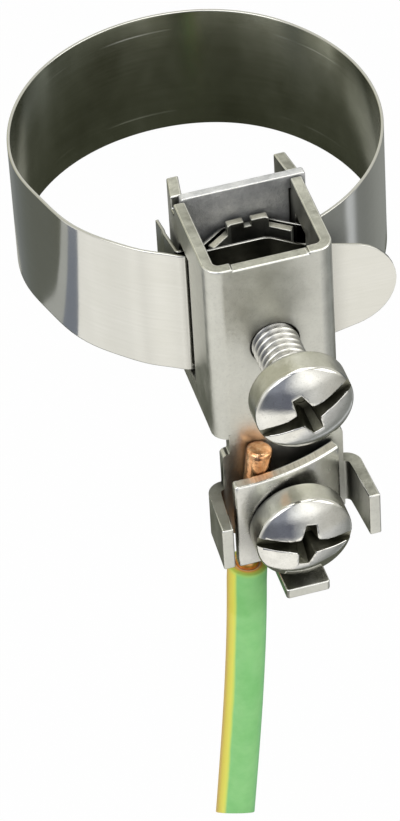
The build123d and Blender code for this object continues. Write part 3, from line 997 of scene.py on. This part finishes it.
# Studio: a pale floor well below the clamp, a white surround, soft lamps, and
# a dark card and three paler ones below the ring, seen only in the bright steel.
floor_reach = 3
floor_level = -0.3
floor_mesh = bpy.data.meshes.new("floor")
floor_mesh.from_pydata([(x, y, floor_level) for x, y in oblong(2 * floor_reach, 2 * floor_reach)], [],
                       [(0, 1, 2, 3)])
floor = bpy.data.objects.new("floor", floor_mesh)
bpy.context.scene.collection.objects.link(floor)
paper = bpy.data.materials.new("white_paper")
paper.use_nodes = True
tree = paper.node_tree
tree.nodes.remove(tree.nodes["Principled BSDF"])
matt = shade(tree, "BsdfDiffuse", {"Color": (0.86, 0.86, 0.86, 1.0)}).outputs["BSDF"]
glow = shade(tree, "Emission", {"Color": (1.0, 1.0, 1.0, 1.0), "Strength": 1.0}).outputs["Emission"]
seen = shade(tree, "LightPath").outputs["Is Camera Ray"]
both = shade(tree, "MixShader", {"Fac": reckoned(tree, "MULTIPLY", seen, 0.97)})
tree.links.new(matt, both.inputs[1])
tree.links.new(glow, both.inputs[2])
tree.links.new(both.outputs["Shader"], tree.nodes["Material Output"].inputs["Surface"])
floor_mesh.materials.append(paper)
floor.visible_glossy = False

card_radius = 0.046
ring_card = [(card_radius * math.cos(math.radians(turn)), 0.002 + card_radius * math.sin(math.radians(turn)))
             for turn in range(0, 360, 12)]
crescent = [(-0.031, 0.036), (-0.022, 0.0465), (-0.0044, 0.0525), (0.02, 0.0508), (0.031, 0.042),
            (0.014, 0.037), (-0.006, 0.041), (-0.021, 0.038)]
pale_outline = [(-0.0445, 0.0194), (-0.0745, 0.0179), (-0.0775, 0.0089), (-0.0445, 0.0134)]
blue_outline = [(-0.0445, 0.0134), (-0.0775, 0.0089), (-0.0799, -0.0034), (-0.0484, 0.0003)]
for name, outline, card_level, tone in (
    ("dark_card", ring_card, -0.04, (0.11, 0.115, 0.088)),
    ("soft_patch", crescent, -0.0398, (0.42, 0.42, 0.38)),
    ("pale_strip", pale_outline, -0.04, (0.44, 0.45, 0.43)),
    ("blue_strip", blue_outline, -0.04, (0.22, 0.24, 0.285)),
):
    card_mesh = bpy.data.meshes.new(name)
    card_mesh.from_pydata([(x, y, card_level) for x, y in outline], [], [tuple(range(len(outline)))])
    card = bpy.data.objects.new(name, card_mesh)
    bpy.context.scene.collection.objects.link(card)
    card_paint = bpy.data.materials.new(name + "_paint")
    card_paint.use_nodes = True
    tree = card_paint.node_tree
    tree.nodes.remove(tree.nodes["Principled BSDF"])
    dim = shade(tree, "Emission", {"Color": (*tone, 1.0), "Strength": 1.0})
    tree.links.new(dim.outputs["Emission"], tree.nodes["Material Output"].inputs["Surface"])
    card_mesh.materials.append(card_paint)
    card.visible_camera = False
    card.visible_diffuse = False
    card.visible_shadow = False
    card.visible_transmission = False

world = bpy.data.worlds.new("studio")
bpy.context.scene.world = world
world.use_nodes = True
tree = world.node_tree
tree.nodes.clear()
aim = shade(tree, "TexCoord").outputs["Generated"]
aim_parts = shade(tree, "SeparateXYZ", {"Vector": aim})
round_about = reckoned(tree, "ARCTAN2", aim_parts.outputs["Y"], aim_parts.outputs["X"])
compass = spread(tree, round_about, 0.0, 1.0, -math.pi, math.pi)


def bearing(degrees):
    """Place on the compass strip for a direction counted from +X."""
    return (degrees + 180) / 360


low = tones(tree, compass, [
    (0.0, (1.08, 1.07, 1.03)),
    (bearing(-80), (1.14, 1.12, 1.06)),
    (bearing(-60), (0.8, 0.8, 0.8)),
    (bearing(-20), (0.3, 0.31, 0.3)),
    (bearing(-5), (0.26, 0.27, 0.26)),
    (bearing(-1), (0.7, 0.72, 0.74)),
    (bearing(4), (0.62, 0.64, 0.66)),
    (bearing(8), (0.24, 0.25, 0.24)),
    (bearing(44), (0.3, 0.31, 0.29)),
    (bearing(75), (0.3, 0.31, 0.29)),
    (bearing(104), (0.24, 0.255, 0.25)),
    (bearing(124), (0.15, 0.16, 0.145)),
    (bearing(152), (0.14, 0.145, 0.115)),
    (bearing(154), (1.0, 0.99, 0.95)),
    (1.0, (1.08, 1.07, 1.03)),
])
level = tones(tree, compass, [
    (0.0, (0.9, 0.89, 0.85)),
    (bearing(-150), (0.6, 0.6, 0.58)),
    (bearing(-130), (0.16, 0.17, 0.2)),
    (bearing(-96), (0.15, 0.16, 0.2)),
    (bearing(-86), (0.5, 0.51, 0.52)),
    (bearing(-74), (0.72, 0.72, 0.7)),
    (bearing(-52), (0.62, 0.61, 0.57)),
    (bearing(-20), (0.34, 0.34, 0.31)),
    (bearing(30), (0.14, 0.15, 0.16)),
    (bearing(60), (0.2, 0.21, 0.21)),
    (bearing(120), (0.3, 0.3, 0.24)),
    (bearing(165), (0.5, 0.5, 0.45)),
    (1.0, (0.9, 0.89, 0.85)),
])
high = tones(tree, compass, [
    (0.0, (1.0, 1.0, 0.98)),
    (bearing(-150), (0.75, 0.75, 0.74)),
    (bearing(-128), (0.28, 0.3, 0.36)),
    (bearing(-104), (0.34, 0.36, 0.42)),
    (bearing(-90), (1.05, 1.06, 1.06)),
    (bearing(-74), (1.45, 1.44, 1.4)),
    (bearing(-52), (0.95, 0.94, 0.9)),
    (bearing(-36), (0.75, 0.75, 0.7)),
    (bearing(20), (0.78, 0.77, 0.7)),
    (bearing(84), (0.76, 0.76, 0.7)),
    (bearing(100), (0.62, 0.6, 0.46)),
    (bearing(125), (0.6, 0.59, 0.46)),
    (1.0, (1.0, 1.0, 0.98)),
])
rise = aim_parts.outputs["Z"]
surround = mixed(tree, spread(tree, rise, 0.0, 1.0, -0.56, -0.42), low, level)
surround = mixed(tree, spread(tree, rise, 0.0, 1.0, -0.12, 0.06), surround, high)
uneven = tones(tree, blotches(tree, aim, 0.35, 3.0), [(0.3, grey(0.82)), (0.7, grey(1.03))])
surround = mixed(tree, 1.0, surround, uneven, "MULTIPLY")
path = shade(tree, "LightPath")
soft = shade(tree, "Background", {"Color": (1.0, 1.0, 1.0, 1.0), "Strength": 0.55}).outputs["Background"]
shown = shade(tree, "Background", {"Color": surround, "Strength": 1.0}).outputs["Background"]
white = shade(tree, "Background", {"Color": (1.0, 1.0, 1.0, 1.0), "Strength": 1.0}).outputs["Background"]
mirrored = reckoned(tree, "MAXIMUM", path.outputs["Is Glossy Ray"], path.outputs["Is Transmission Ray"])
lit = shade(tree, "MixShader", {"Fac": mirrored})
tree.links.new(soft, lit.inputs[1])
tree.links.new(shown, lit.inputs[2])
whole = shade(tree, "MixShader", {"Fac": path.outputs["Is Camera Ray"]})
tree.links.new(lit.outputs["Shader"], whole.inputs[1])
tree.links.new(white, whole.inputs[2])
finish = shade(tree, "OutputWorld")
tree.links.new(whole.outputs["Shader"], finish.inputs["Surface"])

for name, spot, size, power in (
    ("left_softbox", (-0.55, -0.45, 0.6), 0.7, 2.4),
    ("top_softbox", (0.1, 0.1, 0.9), 0.8, 3.0),
    ("right_softbox", (0.6, -0.35, 0.35), 0.5, 1.2),
):
    lamp = bpy.data.lights.new(name, "AREA")
    lamp.size = size
    lamp.energy = power
    holder = bpy.data.objects.new(name, lamp)
    holder.location = spot
    holder.rotation_euler = (-Vector(spot)).to_track_quat("-Z", "Y").to_euler()
    bpy.context.scene.collection.objects.link(holder)
